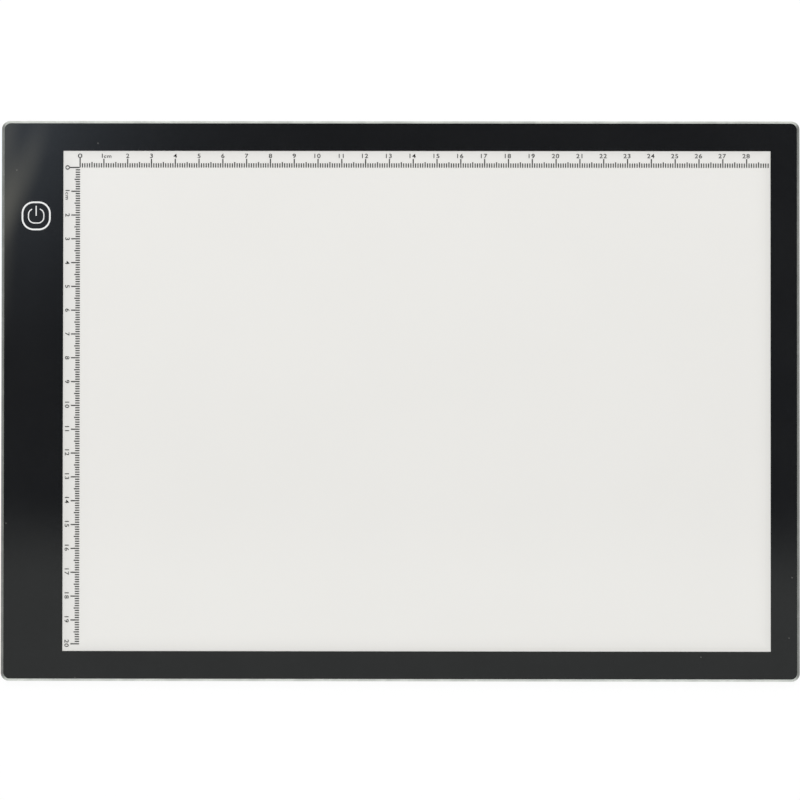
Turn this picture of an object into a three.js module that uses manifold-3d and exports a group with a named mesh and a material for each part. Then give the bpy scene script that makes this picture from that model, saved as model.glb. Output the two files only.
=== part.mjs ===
// LED tracing pad for A4 paper, in millimetres.
// X runs along the pad, Y up the page that is drawn on, Z up from the table.
// The origin is the middle of the pad, level with the undersides of its feet.

import * as THREE from 'three';
import { mergeVertices } from 'three/addons/utils/BufferGeometryUtils.js';
import Module from 'manifold-3d';

const wasm = await Module();
wasm.setup();

// Outline and window, as they show from above
const windowLength = 297;
const windowWidth = 210;
const borderLeft = 25.6;
const borderRight = 11.9;
const borderTop = 12.4;
const borderBottom = 12.4;
const cornerRadius = 3.5;
const keyFromLeft = 14.4;
const keyFromTop = 40;

// Sheets that stack up to the pad's thickness
const panelThickness = 1.5;
const panelChamfer = 0.3;
const clearRim = 0.8;
const maskThickness = 0.08;
const diffuserThickness = 0.3;
const reflectorThickness = 0.2;
const coverThickness = 0.8;
const coverChamfer = 0.25;
const film = 0.02;

// Light guide and the sheets cut to it
const guideOverlap = 3;
const guideOverlapLeft = 4;
const diffuserOverlapLeft = 1.6;
const sheetInset = 0.3;
const guideGap = 0.4;
const notchRadius = 2.5;
const notchFromRight = 45;
const earClearance = 0.3;

// LED bar, standing at the guide's left edge
const ledCount = 36;
const ledLength = 4;
const ledHeight = 1.4;
const ledDepth = 0.7;
const ledGap = 0.3;
const ledRim = 0.25;
const ledRecess = 0.2;
const barThickness = 0.8;
const barEndInset = 1;
const barEndMargin = 2;
const barTapeThickness = 0.1;
const sealThickness = 0.1;
const sealGap = 0.3;

// Foam cushions, which push the guide towards the LED bar
const cushionThickness = 2;
const cushionLength = 30;
const cushionFromMiddle = 60;

// Middle frame
const frameInset = 0.2;
const sideWall = 3;
const ribWidth = 1.6;
const pocketCount = 5;
const pocketRadius = 1.5;
const reliefRadius = 1;
const tapeThickness = 0.1;
const tapeOuterMargin = 1;
const tapeInnerMargin = 0.5;
const tapeJoint = 0.3;

// Control board, its bay and the pegs that hold it in place
const bayAboveKey = 20;
const bayBelowKey = 25;
const boardThickness = 0.8;
const boardClearance = 0.3;
const boardCornerRadius = 1;
const boardTapeMargin = 1.5;
const gussetSize = 4.4;
const gussetClearance = 0.1;
const pegRadius = 0.8;
const pegClearance = 0.2;
const pegFromCorner = 2.1;

// Micro USB socket, sunk in a cut-out of the board
const usbBelowKey = 15;
const usbWidth = 7.5;
const usbHeight = 2.45;
const usbHeadroom = 0.065;
const usbLength = 5.5;
const usbWall = 0.25;
const usbCornerCut = 1;
const usbRecess = 0.2;
const usbSideGap = 0.3;
const usbCutoutGap = 0.15;
const usbTabReach = 1.2;
const usbTabLength = 1.5;
const usbTabThickness = 0.25;
const usbBlockLength = 1.6;
const usbFit = 0.05;
const tongueWidth = 3.7;
const tongueThickness = 0.6;
const tongueLength = 3.2;
const contactCount = 5;
const contactPitch = 0.65;
const contactWidth = 0.3;
const contactThickness = 0.12;
const contactSetback = 0.4;
const contactTail = 1.2;

// Touch key: copper foil under the printed key, and the foam that joins it to the board
const electrodeDiameter = 7;
const electrodeThickness = 0.05;
const contactFoamDiameter = 5;

// Touch dimmer chip
const chipFromKeyX = -5.2;
const chipFromKeyY = 3;
const chipBody = { length: 3, width: 4.4, height: 0.85, standoff: 0.12 };
const chipLead = { perSide: 4, pitch: 0.65, width: 0.3, thickness: 0.15, span: 6.4, shoulder: 0.3, foot: 0.55 };

// Transistor that switches the LED bar
const transistorFromKeyX = -1;
const transistorBelowKey = 7;
const transistorBody = { length: 2.9, width: 1.3, height: 0.85, standoff: 0.1 };
const transistorLead = { width: 0.4, pitch: 0.95, thickness: 0.13, span: 2.5, shoulder: 0.15, foot: 0.4 };

// Capacitors and resistors, in two rows at the board's upper end
const capacitorCount = 3;
const capacitorPitch = 3.3;
const capacitorAboveKey = 14.2;
const capacitor = { length: 2, width: 1.25, height: 0.9, cap: 0.4, proud: 0.03 };
const resistorCount = 4;
const resistorPitch = 2.3;
const resistorAboveKey = 10;
const resistor = { length: 1.6, width: 0.8, height: 0.45, cap: 0.3, proud: 0.02 };

// Two leads from the board to the LED bar
const leadDiameter = 1.1;
const leadPitch = 2.4;
const leadBelowKey = 15;
const leadReach = 4;
const leadStraight = 1;
const leadRise = 0.25;
const leadClearance = 0.6;

// Rubber feet
const footDiameter = 8;
const footHeight = 1;
const footEdgeRadius = 0.4;
const footInset = 14;

// Facets, and the distance that every cut runs past what it cuts
const cornerSteps = 8;
const roundSides = 24;
const footSides = 28;
const leadSides = 8;
const leadSteps = 8;
const edgeSteps = 3;
const overrun = 1;

// Plan positions
const padLeft = -(borderLeft + windowLength + borderRight) / 2;
const padBottom = -(borderBottom + windowWidth + borderTop) / 2;
const padRight = -padLeft;
const padTop = -padBottom;
const windowLeft = padLeft + borderLeft;
const windowRight = padRight - borderRight;
const windowBottom = padBottom + borderBottom;
const windowTop = padTop - borderTop;
const keyX = padLeft + keyFromLeft;
const keyY = padTop - keyFromTop;

const frameLeft = padLeft + frameInset;
const frameRight = padRight - frameInset;
const frameBottom = padBottom + frameInset;
const frameTop = padTop - frameInset;

const guideLeft = windowLeft - guideOverlapLeft;
const guideRight = windowRight + guideOverlap;
const guideBottom = windowBottom - guideOverlap;
const guideTop = windowTop + guideOverlap;
const diffuserLeft = windowLeft - diffuserOverlapLeft;
const earX = windowRight - notchFromRight;

const barFront = guideLeft - ledGap - ledDepth;
const barBack = barFront - barThickness;
const barBottom = guideBottom + barEndInset;
const barTop = guideTop - barEndInset;

const openingLeft = barBack - film - barTapeThickness - film;
const openingRight = guideRight + guideGap;
const openingBottom = guideBottom - guideGap;
const openingTop = guideTop + guideGap;

const bayLeft = frameLeft + sideWall;
const bayRight = openingLeft - ribWidth;
const bayBottom = keyY - bayBelowKey;
const bayTop = keyY + bayAboveKey;
const boardLeft = bayLeft + boardClearance;
const boardRight = bayRight - boardClearance;
const boardBottom = bayBottom + boardClearance;
const boardTop = bayTop - boardClearance;
const pegs = [
  { x: boardRight - pegFromCorner, y: boardTop - pegFromCorner, wallX: bayRight, wallY: bayTop, inward: -1 },
  { x: boardLeft + pegFromCorner, y: boardBottom + pegFromCorner, wallX: bayLeft, wallY: bayBottom, inward: 1 },
];

const usbY = keyY - usbBelowKey;
const usbMouth = frameLeft + usbRecess;
const usbBack = usbMouth + usbLength;
const usbSlot = usbWidth / 2 + usbSideGap;
const leadY = keyY - leadBelowKey;
const leadSlot = (leadPitch + leadDiameter) / 2 + leadClearance;

// Levels, from the table up
const coverLevel = footHeight + film;
const cavityFloor = coverLevel + coverThickness;
const cavityHeight = usbHeight + 2 * usbHeadroom;
const maskLevel = cavityFloor + cavityHeight;
const panelLevel = maskLevel + maskThickness + film;
const backTapeLevel = cavityFloor + film;
const frameLevel = backTapeLevel + tapeThickness + film;
const frontTapeLevel = maskLevel - film - tapeThickness;
const frameHeight = frontTapeLevel - film - frameLevel;
const reflectorLevel = cavityFloor + film;
const guideLevel = reflectorLevel + reflectorThickness + film;
const diffuserLevel = maskLevel - film - diffuserThickness;
const guideThickness = diffuserLevel - film - guideLevel;
const sealLevel = guideLevel + guideThickness + film;
const boardLevel = backTapeLevel + tapeThickness + film;
const boardFace = boardLevel + boardThickness + film;
const usbLevel = cavityFloor + usbHeadroom;
const electrodeLevel = maskLevel - film - electrodeThickness;

// A closed geometry as a solid that can be cut and joined.
function solidOf(geometry) {
  const bare = new THREE.BufferGeometry();
  const loose = geometry.index ? geometry.toNonIndexed() : geometry;
  bare.setAttribute('position', loose.getAttribute('position').clone());
  const welded = mergeVertices(bare);
  return new wasm.Manifold(new wasm.Mesh({
    numProp: 3,
    vertProperties: new Float32Array(welded.attributes.position.array),
    triVerts: new Uint32Array(welded.index.array),
  }));
}

// A solid back as a geometry that three.js can draw.
function geometryOf(solid) {
  const mesh = solid.getMesh();
  const geometry = new THREE.BufferGeometry();
  geometry.setAttribute('position', new THREE.BufferAttribute(mesh.vertProperties, mesh.numProp));
  geometry.setIndex(new THREE.BufferAttribute(mesh.triVerts, 1));
  const flat = geometry.toNonIndexed();
  flat.computeVertexNormals();
  return flat;
}

function join(...geometries) {
  return geometryOf(geometries.map(solidOf).reduce((whole, piece) => whole.add(piece)));
}

function cut(geometry, ...tools) {
  return geometryOf(tools.map(solidOf).reduce((whole, tool) => whole.subtract(tool), solidOf(geometry)));
}

// A block between two values on each axis.
function block([x0, x1], [y0, y1], [z0, z1]) {
  const geometry = new THREE.BoxGeometry(x1 - x0, y1 - y0, z1 - z0);
  return geometry.translate((x0 + x1) / 2, (y0 + y1) / 2, (z0 + z1) / 2);
}

// An upright cylinder between two levels.
function post(x, y, radius, [z0, z1]) {
  const geometry = new THREE.CylinderGeometry(radius, radius, z1 - z0, roundSides);
  return geometry.rotateX(Math.PI / 2).translate(x, y, (z0 + z1) / 2);
}

// A rectangle with round corners, whose radius is limited by its shorter side.
function roundedOutline([x0, x1], [y0, y1], radius) {
  const r = Math.min(radius, (x1 - x0) / 2, (y1 - y0) / 2);
  const outline = new THREE.Shape();
  outline.absarc(x1 - r, y1 - r, r, 0, Math.PI / 2);
  outline.absarc(x0 + r, y1 - r, r, Math.PI / 2, Math.PI);
  outline.absarc(x0 + r, y0 + r, r, Math.PI, 1.5 * Math.PI);
  outline.absarc(x1 - r, y0 + r, r, 1.5 * Math.PI, 2 * Math.PI);
  outline.closePath();
  return outline;
}

// A flat sheet of an outline, from level zero up.
function sheet(outline, thickness) {
  return new THREE.ExtrudeGeometry(outline, {
    depth: thickness,
    bevelEnabled: false,
    curveSegments: cornerSteps,
  });
}

// The same, with both of its edges chamfered inside the outline.
function chamferedSheet(outline, thickness, chamfer) {
  const geometry = new THREE.ExtrudeGeometry(outline, {
    depth: thickness - 2 * chamfer,
    bevelThickness: chamfer,
    bevelSize: chamfer,
    bevelOffset: -chamfer,
    bevelSegments: 1,
    curveSegments: cornerSteps,
  });
  return geometry.translate(0, 0, chamfer);
}

// Turns a profile drawn in Y and Z, and extruded upright, so that it runs along X.
function alongX(geometry) {
  return geometry.rotateX(Math.PI / 2).rotateZ(Math.PI / 2);
}

function polygon(points) {
  return new THREE.Shape(points.map(([x, y]) => new THREE.Vector2(x, y)));
}

const pad = new THREE.Group();

function add(name, geometry, [color, roughness, metalness], [x, y, z] = [0, 0, 0]) {
  const mesh = new THREE.Mesh(geometry, new THREE.MeshStandardMaterial({ color, roughness, metalness }));
  mesh.name = name;
  mesh.position.set(x, y, z);
  pad.add(mesh);
}

// Colour, roughness and metalness of each material
const clearAcrylic = [0xf2f5f4, 0.08, 0];
const blackPrint = [0x141516, 0.2, 0];
const whiteSheet = [0xeae9e5, 0.55, 0];
const silverWhite = [0xf2f2f0, 0.35, 0];
const whitePlastic = [0xdededb, 0.5, 0];
const greenBoard = [0x1c5a38, 0.45, 0];
const whiteBoard = [0xe8e8e2, 0.5, 0];
const adhesive = [0xf3efe2, 0.6, 0];
const darkFoam = [0x2c2c2e, 0.95, 0];
const steel = [0xb9bbbd, 0.3, 1];
const gold = [0xd8b25a, 0.3, 1];
const copper = [0xc0764a, 0.35, 1];
const blackResin = [0x1a1a1b, 0.5, 0];
const tanCeramic = [0xa98a62, 0.5, 0];
const redSleeve = [0xb3241f, 0.5, 0];
const blackSleeve = [0x161616, 0.5, 0];
const clearRubber = [0x9a9b9a, 0.7, 0];

// Front panel, clear to its rim, and the black print behind it with the window left open.
function makeFront() {
  const outline = roundedOutline([padLeft, padRight], [padBottom, padTop], cornerRadius);
  add('front_panel', chamferedSheet(outline, panelThickness, panelChamfer), clearAcrylic, [0, 0, panelLevel]);

  const maskX = [padLeft + clearRim, padRight - clearRim];
  const maskY = [padBottom + clearRim, padTop - clearRim];
  const mask = roundedOutline(maskX, maskY, cornerRadius - clearRim);
  mask.holes.push(polygon([
    [windowLeft, windowBottom],
    [windowLeft, windowTop],
    [windowRight, windowTop],
    [windowRight, windowBottom],
  ]));
  add('mask_print', sheet(mask, maskThickness), blackPrint, [0, 0, maskLevel]);
}

// A sheet cut to the guide, with the two notches that the frame's ears stand in.
function notchedSheet(left, inset, thickness) {
  const x = [left, guideRight - inset];
  const y = [guideBottom + inset, guideTop - inset];
  const through = [-overrun, thickness + overrun];
  return cut(
    block(x, y, [0, thickness]),
    post(earX, openingTop, notchRadius, through),
    post(earX, openingBottom, notchRadius, through),
  );
}

// Light guide between its reflector and its diffuser.
function makeLightStack() {
  const reflector = notchedSheet(guideLeft, sheetInset, reflectorThickness);
  add('reflector_sheet', reflector, silverWhite, [0, 0, reflectorLevel]);
  add('light_guide', notchedSheet(guideLeft, 0, guideThickness), clearAcrylic, [0, 0, guideLevel]);
  const diffuser = notchedSheet(diffuserLeft, sheetInset, diffuserThickness);
  add('diffuser_sheet', diffuser, whiteSheet, [0, 0, diffuserLevel]);

  const cushionX = [guideRight + film, guideRight + film + cushionThickness];
  for (const [name, side] of [['cushion_upper', 1], ['cushion_lower', -1]]) {
    const middle = side * cushionFromMiddle;
    const cushionY = [middle - cushionLength / 2, middle + cushionLength / 2];
    add(name, block(cushionX, cushionY, [0, guideThickness]), darkFoam, [0, 0, guideLevel]);
  }
}

// One LED package, its face towards +X and its emitting recess in it.
function ledPackage() {
  const y = [-ledLength / 2, ledLength / 2];
  const z = [(guideThickness - ledHeight) / 2, (guideThickness + ledHeight) / 2];
  return cut(
    block([-ledRecess, ledDepth], y, z),
    block([ledDepth - ledRecess, ledDepth + overrun], [y[0] + ledRim, y[1] - ledRim], [z[0] + ledRim, z[1] - ledRim]),
  );
}

// LED bar: a strip of board on its edge, with its packages soldered in a row.
function makeLedBar() {
  const strip = block([-barThickness, 0], [barBottom, barTop], [0, guideThickness]);
  const first = barBottom + barEndMargin + ledLength / 2;
  const last = barTop - barEndMargin - ledLength / 2;
  const packages = Array.from({ length: ledCount }, (_, i) => (
    ledPackage().translate(0, THREE.MathUtils.lerp(first, last, i / (ledCount - 1)), 0)
  ));
  add('led_bar', join(strip, ...packages), whiteBoard, [barFront, 0, guideLevel]);

  const tapeX = [barBack - film - barTapeThickness, barBack - film];
  const lower = block(tapeX, [barBottom, leadY - leadSlot - tapeJoint], [0, guideThickness]);
  add('bar_tape_lower', lower, adhesive, [0, 0, guideLevel]);
  const upper = block(tapeX, [leadY + leadSlot + tapeJoint, barTop], [0, guideThickness]);
  add('bar_tape_upper', upper, adhesive, [0, 0, guideLevel]);

  const seal = block([barBack, diffuserLeft - sealGap], [barBottom, barTop], [0, sealThickness]);
  add('light_seal', seal, adhesive, [0, 0, sealLevel]);
}

// The slot in the frame's right wall that holds one cushion.
function cushionSlot(side, through) {
  const middle = side * cushionFromMiddle;
  const reach = cushionLength / 2 + guideGap;
  return block(
    [openingRight - overrun, guideRight + cushionThickness + 2 * film],
    [middle - reach, middle + reach],
    through,
  );
}

// The pockets that lighten the frame's wide left side, below the board's bay.
function framePockets(through) {
  const start = openingBottom;
  const pitch = (bayBottom - start) / pocketCount;
  return Array.from({ length: pocketCount }, (_, i) => {
    const y = [start + i * pitch, start + (i + 1) * pitch - ribWidth];
    const pocket = sheet(roundedOutline([bayLeft, bayRight], y, pocketRadius), through[1] - through[0]);
    return pocket.translate(0, 0, through[0]);
  });
}

// A gusset in a corner of the bay, over the board, and its peg down through the board.
function boardPeg({ x, y, wallX, wallY, inward }) {
  const span = (wall) => [wall - (inward * ribWidth) / 2, wall + inward * gussetSize].sort((a, b) => a - b);
  const underside = boardFace + gussetClearance - frameLevel;
  const gusset = block(span(wallX), span(wallY), [underside, frameHeight]);
  return [gusset, post(x, y, pegRadius, [boardLevel - frameLevel, frameHeight])];
}

// Middle frame, which holds every inner piece and takes the panel and the cover on its faces.
function makeFrame() {
  const through = [-overrun, frameHeight + overrun];
  const radius = cornerRadius - frameInset;
  const slab = sheet(roundedOutline([frameLeft, frameRight], [frameBottom, frameTop], radius), frameHeight);
  const bay = sheet(
    roundedOutline([bayLeft, bayRight], [bayBottom, bayTop], boardCornerRadius - boardClearance),
    through[1] - through[0],
  ).translate(0, 0, through[0]);
  const opened = cut(
    slab,
    block([openingLeft, openingRight], [openingBottom, openingTop], through),
    post(openingRight, openingTop, reliefRadius, through),
    post(openingRight, openingBottom, reliefRadius, through),
    cushionSlot(1, through),
    cushionSlot(-1, through),
    bay,
    ...framePockets(through),
    block([frameLeft - overrun, bayLeft + overrun], [usbY - usbSlot, usbY + usbSlot], through),
    block([bayRight - overrun, openingLeft + overrun], [leadY - leadSlot, leadY + leadSlot], through),
  );
  const ears = [openingTop, openingBottom].map((y) => (
    post(earX, y, notchRadius - earClearance, [0, frameHeight])
  ));
  const boardPegs = pegs.flatMap(boardPeg);
  add('middle_frame', join(opened, ...ears, ...boardPegs), whitePlastic, [0, 0, frameLevel]);
}

// Five tape strips on one face of the frame, broken at the USB socket.
function addTapes(prefix, level) {
  const outerX = [frameLeft + tapeOuterMargin, frameRight - tapeOuterMargin];
  const topStrip = [openingTop + tapeInnerMargin, frameTop - tapeOuterMargin];
  const bottomStrip = [frameBottom + tapeOuterMargin, openingBottom - tapeInnerMargin];
  const between = [bottomStrip[1] + tapeJoint, topStrip[0] - tapeJoint];
  const leftX = [outerX[0], bayLeft - tapeInnerMargin];
  const rightX = [openingRight + tapeInnerMargin, outerX[1]];
  const strips = {
    top: [outerX, topStrip],
    bottom: [outerX, bottomStrip],
    right: [rightX, between],
    left_upper: [leftX, [usbY + usbSlot + tapeJoint, between[1]]],
    left_lower: [leftX, [between[0], usbY - usbSlot - tapeJoint]],
  };
  for (const [place, [x, y]] of Object.entries(strips)) {
    add(`${prefix}_${place}`, block(x, y, [0, tapeThickness]), adhesive, [0, 0, level]);
  }
}

// Control board, with its cut-out for the socket, its peg holes and the tape under it.
function makeBoard() {
  const through = [-overrun, boardThickness + overrun];
  const halfCutout = usbWidth / 2 + usbCutoutGap;
  const outline = roundedOutline([boardLeft, boardRight], [boardBottom, boardTop], boardCornerRadius);
  const cutout = block(
    [boardLeft - overrun, usbBack + usbCutoutGap],
    [usbY - halfCutout, usbY + halfCutout],
    through,
  );
  const holes = pegs.map(({ x, y }) => post(x, y, pegRadius + pegClearance, through));
  add('control_board', cut(sheet(outline, boardThickness), cutout, ...holes), greenBoard, [0, 0, boardLevel]);

  const tape = block(
    [boardLeft + boardTapeMargin, boardRight - boardTapeMargin],
    [usbY + halfCutout + boardTapeMargin, pegs[0].y - pegRadius - pegClearance - boardTapeMargin],
    [0, tapeThickness],
  );
  add('board_tape', tape, adhesive, [0, 0, backTapeLevel]);
}

// The socket's outline, seen from its mouth: a rectangle with its two lower corners cut off.
function usbOutline(inset) {
  const half = usbWidth / 2 - inset;
  const bottom = inset;
  const top = usbHeight - inset;
  const corner = usbCornerCut - (2 - Math.SQRT2) * inset;
  return polygon([
    [-half + corner, bottom],
    [half - corner, bottom],
    [half, bottom + corner],
    [half, top],
    [-half, top],
    [-half, bottom + corner],
  ]);
}

// Steel shell of the socket, with a solder tab on each side that rests on the board.
function makeUsbShell() {
  const outline = usbOutline(0);
  outline.holes.push(usbOutline(usbWall));
  const shell = alongX(sheet(outline, usbLength));
  const tabX = [boardLeft + usbSideGap - usbMouth, boardLeft + usbSideGap + usbTabLength - usbMouth];
  const tabZ = [boardFace - usbLevel, boardFace + usbTabThickness - usbLevel];
  const inner = usbWidth / 2 - usbWall;
  const outer = usbWidth / 2 + usbTabReach;
  const tabs = [block(tabX, [inner, outer], tabZ), block(tabX, [-outer, -inner], tabZ)];
  add('usb_shell', join(shell, ...tabs), steel, [usbMouth, usbY, usbLevel]);
}

// Insulator: a block that closes the shell's back, and the tongue that carries the contacts.
function makeUsbInsulator() {
  const back = alongX(sheet(usbOutline(usbWall + usbFit), usbBlockLength));
  const blockFront = usbBack - usbBlockLength;
  const contactZ = [boardFace - usbLevel, boardFace + contactThickness - usbLevel];
  const tongueZ = [contactZ[1] + film, contactZ[1] + film + tongueThickness];
  const tongue = block([-tongueLength, usbBlockLength / 2], [-tongueWidth / 2, tongueWidth / 2], tongueZ);
  const grooveZ = [contactZ[0] - usbFit, contactZ[1] + film];
  const grooves = contactPlaces().map((y) => block(
    [-overrun, usbBlockLength + overrun],
    [y - contactWidth / 2 - usbFit, y + contactWidth / 2 + usbFit],
    grooveZ,
  ));
  add('usb_insulator', cut(join(back, tongue), ...grooves), blackResin, [blockFront, usbY, usbLevel]);
}

function contactPlaces() {
  return Array.from({ length: contactCount }, (_, i) => (i - (contactCount - 1) / 2) * contactPitch);
}

// Five contacts, each from the tongue's tip through the block to its pad on the board.
function makeUsbContacts() {
  const tip = usbBack - usbBlockLength - tongueLength + contactSetback;
  const strip = [tip, usbBack + contactTail];
  contactPlaces().forEach((y, i) => {
    const across = [usbY + y - contactWidth / 2, usbY + y + contactWidth / 2];
    add(`usb_contact_${i + 1}`, block(strip, across, [0, contactThickness]), gold, [0, 0, boardFace]);
  });
}

// Copper foil under the printed key, and conductive foam between it and the board.
function makeTouchKey() {
  const foil = post(0, 0, electrodeDiameter / 2, [0, electrodeThickness]);
  add('touch_electrode', foil, copper, [keyX, keyY, electrodeLevel]);
  const foam = post(0, 0, contactFoamDiameter / 2, [0, electrodeLevel - film - boardFace]);
  add('contact_foam', foam, darkFoam, [keyX, keyY, boardFace]);
}

// One bent lead of a chip, leaving its side at mid height towards +Y.
function gullLead(body, lead, x) {
  const side = body.width / 2;
  const tip = lead.span / 2;
  const middle = body.standoff + body.height / 2;
  const half = lead.thickness / 2;
  const profile = polygon([
    [side - lead.foot, middle - half],
    [side + lead.shoulder, middle - half],
    [tip - lead.foot, 0],
    [tip, 0],
    [tip, lead.thickness],
    [tip - lead.foot + half, lead.thickness],
    [side + lead.shoulder + half, middle + half],
    [side - lead.foot, middle + half],
  ]);
  return alongX(sheet(profile, lead.width)).translate(x - lead.width / 2, 0, 0);
}

// A chip's moulded body.
function chipCase({ length, width, height, standoff }) {
  return block([-length / 2, length / 2], [-width / 2, width / 2], [standoff, standoff + height]);
}

function makeTouchChip() {
  const leads = Array.from({ length: chipLead.perSide }, (_, i) => {
    const x = (i - (chipLead.perSide - 1) / 2) * chipLead.pitch;
    const lead = gullLead(chipBody, chipLead, x);
    return [lead, lead.clone().rotateZ(Math.PI).translate(2 * x, 0, 0)];
  }).flat();
  const place = [keyX + chipFromKeyX, keyY + chipFromKeyY, boardFace];
  add('touch_chip', join(chipCase(chipBody), ...leads), blackResin, place);
}

function makeTransistor() {
  const leads = [
    gullLead(transistorBody, transistorLead, -transistorLead.pitch),
    gullLead(transistorBody, transistorLead, transistorLead.pitch),
    gullLead(transistorBody, transistorLead, 0).rotateZ(Math.PI),
  ];
  const place = [keyX + transistorFromKeyX, keyY - transistorBelowKey, boardFace];
  add('led_transistor', join(chipCase(transistorBody), ...leads), blackResin, place);
}

// A capacitor or resistor: a body between two end caps that stand a little proud of it.
function endCapped({ length, width, height, cap, proud }) {
  const body = block([-length / 2 + cap / 2, length / 2 - cap / 2], [-width / 2, width / 2], [proud, height - proud]);
  const caps = [-1, 1].map((side) => {
    const ends = [side * length / 2, side * (length / 2 - cap)].sort((a, b) => a - b);
    return block(ends, [-width / 2 - proud, width / 2 + proud], [0, height]);
  });
  return join(body, ...caps).rotateZ(Math.PI / 2);
}

function addRow(prefix, count, pitch, y, size, look) {
  const middle = (boardLeft + boardRight) / 2 - pegFromCorner / 2;
  for (let i = 0; i < count; i += 1) {
    const x = middle + (i - (count - 1) / 2) * pitch;
    add(`${prefix}_${i + 1}`, endCapped(size), look, [x, y, boardFace]);
  }
}

function makeComponents() {
  makeTouchChip();
  makeTransistor();
  addRow('capacitor', capacitorCount, capacitorPitch, keyY + capacitorAboveKey, capacitor, tanCeramic);
  addRow('resistor', resistorCount, resistorPitch, keyY + resistorAboveKey, resistor, blackResin);
}

// A lead from its solder pad on the board to the back of the LED bar.
function addLead(name, y, look) {
  const radius = leadDiameter / 2;
  const level = boardFace + film + radius;
  const start = bayRight - leadReach;
  const end = barBack - film;
  const route = new THREE.CatmullRomCurve3([
    new THREE.Vector3(start, y, level),
    new THREE.Vector3(start + leadStraight, y, level),
    new THREE.Vector3((start + end) / 2, y, level + leadRise),
    new THREE.Vector3(end - leadStraight, y, level),
    new THREE.Vector3(end, y, level),
  ]);
  const section = new THREE.Shape(
    Array.from({ length: leadSides }, (_, i) => {
      const turn = (2 * Math.PI * i) / leadSides;
      return new THREE.Vector2(radius * Math.cos(turn), radius * Math.sin(turn));
    }),
  );
  add(name, new THREE.ExtrudeGeometry(section, { steps: leadSteps, extrudePath: route }), look);
}

// Back cover, and the four feet stuck to it near its corners.
function makeBack() {
  const radius = cornerRadius - frameInset;
  const outline = roundedOutline([frameLeft, frameRight], [frameBottom, frameTop], radius);
  add('back_cover', chamferedSheet(outline, coverThickness, coverChamfer), whitePlastic, [0, 0, coverLevel]);

  const feet = {
    foot_upper_left: [padLeft + footInset, padTop - footInset],
    foot_upper_right: [padRight - footInset, padTop - footInset],
    foot_lower_left: [padLeft + footInset, padBottom + footInset],
    foot_lower_right: [padRight - footInset, padBottom + footInset],
  };
  for (const [name, [x, y]] of Object.entries(feet)) {
    add(name, footGeometry(), clearRubber, [x, y, 0]);
  }
}

// A foot's profile turned about its axis: flat below, with a round lower edge.
function footGeometry() {
  const radius = footDiameter / 2;
  const edge = Array.from({ length: edgeSteps + 1 }, (_, i) => {
    const turn = (Math.PI / 2) * (i / edgeSteps);
    return new THREE.Vector2(
      radius - footEdgeRadius * (1 - Math.sin(turn)),
      footEdgeRadius * (1 - Math.cos(turn)),
    );
  });
  const profile = [new THREE.Vector2(0, 0), ...edge, new THREE.Vector2(radius, footHeight)];
  profile.push(new THREE.Vector2(0, footHeight));
  return new THREE.LatheGeometry(profile, footSides).rotateX(Math.PI / 2);
}

makeFront();
makeLightStack();
makeLedBar();
makeFrame();
addTapes('front_tape', frontTapeLevel);
addTapes('back_tape', backTapeLevel);
makeBoard();
makeUsbShell();
makeUsbInsulator();
makeUsbContacts();
makeTouchKey();
makeComponents();
addLead('lead_red', leadY + leadPitch / 2, redSleeve);
addLead('lead_black', leadY - leadPitch / 2, blackSleeve);
makeBack();

export default pad;
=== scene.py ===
# LED tracing pad for A4 paper: the looks of its surfaces, and its printed scales and key.
# Named lengths are in millimetres, and are turned into metres where they are used.
import math

import bmesh
import bpy
from mathutils import Matrix, Vector


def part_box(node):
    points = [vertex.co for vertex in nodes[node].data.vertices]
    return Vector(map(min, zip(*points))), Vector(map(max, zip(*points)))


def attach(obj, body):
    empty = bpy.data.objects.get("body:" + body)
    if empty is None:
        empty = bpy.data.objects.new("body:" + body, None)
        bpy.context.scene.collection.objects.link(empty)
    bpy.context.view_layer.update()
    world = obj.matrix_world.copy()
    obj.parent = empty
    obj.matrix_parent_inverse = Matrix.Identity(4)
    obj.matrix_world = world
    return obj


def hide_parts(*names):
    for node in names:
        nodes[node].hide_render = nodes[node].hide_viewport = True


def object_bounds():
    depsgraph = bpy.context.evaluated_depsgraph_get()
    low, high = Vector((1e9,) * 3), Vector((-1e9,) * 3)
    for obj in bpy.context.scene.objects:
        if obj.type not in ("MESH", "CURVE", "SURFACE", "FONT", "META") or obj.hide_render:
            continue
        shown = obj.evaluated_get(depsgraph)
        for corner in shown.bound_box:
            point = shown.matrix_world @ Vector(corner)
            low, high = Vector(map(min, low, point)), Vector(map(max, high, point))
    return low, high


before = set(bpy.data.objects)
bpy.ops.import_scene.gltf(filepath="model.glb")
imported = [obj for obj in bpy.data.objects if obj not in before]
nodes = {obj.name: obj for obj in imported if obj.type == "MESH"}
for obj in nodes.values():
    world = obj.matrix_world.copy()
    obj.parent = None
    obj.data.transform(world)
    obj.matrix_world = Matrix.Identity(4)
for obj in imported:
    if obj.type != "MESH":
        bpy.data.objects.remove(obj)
CAD_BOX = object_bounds()
BODY = "root"
MM = 0.001

# Camera, all but straight above the pad. Its turns are in degrees.
CAMERA_PLACE = (1.94, -5.82, 797.15)
CAMERA_TURN = (0.449, 0.148, 0.056)
CAMERA_LENS = 85
CAMERA_SENSOR = 36
CAMERA_NEAR = 50
CAMERA_FAR = 20000

# Clear panel: its corners, its rounded edge, and the rim that the print leaves clear
PANEL_RADIUS = 3.5
PANEL_EDGE = 0.35
CLEAR_RIM = 0.8

# Ink on the underside of the panel
INK_GAP = 0.005
INK_THICKNESS = 0.01

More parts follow.
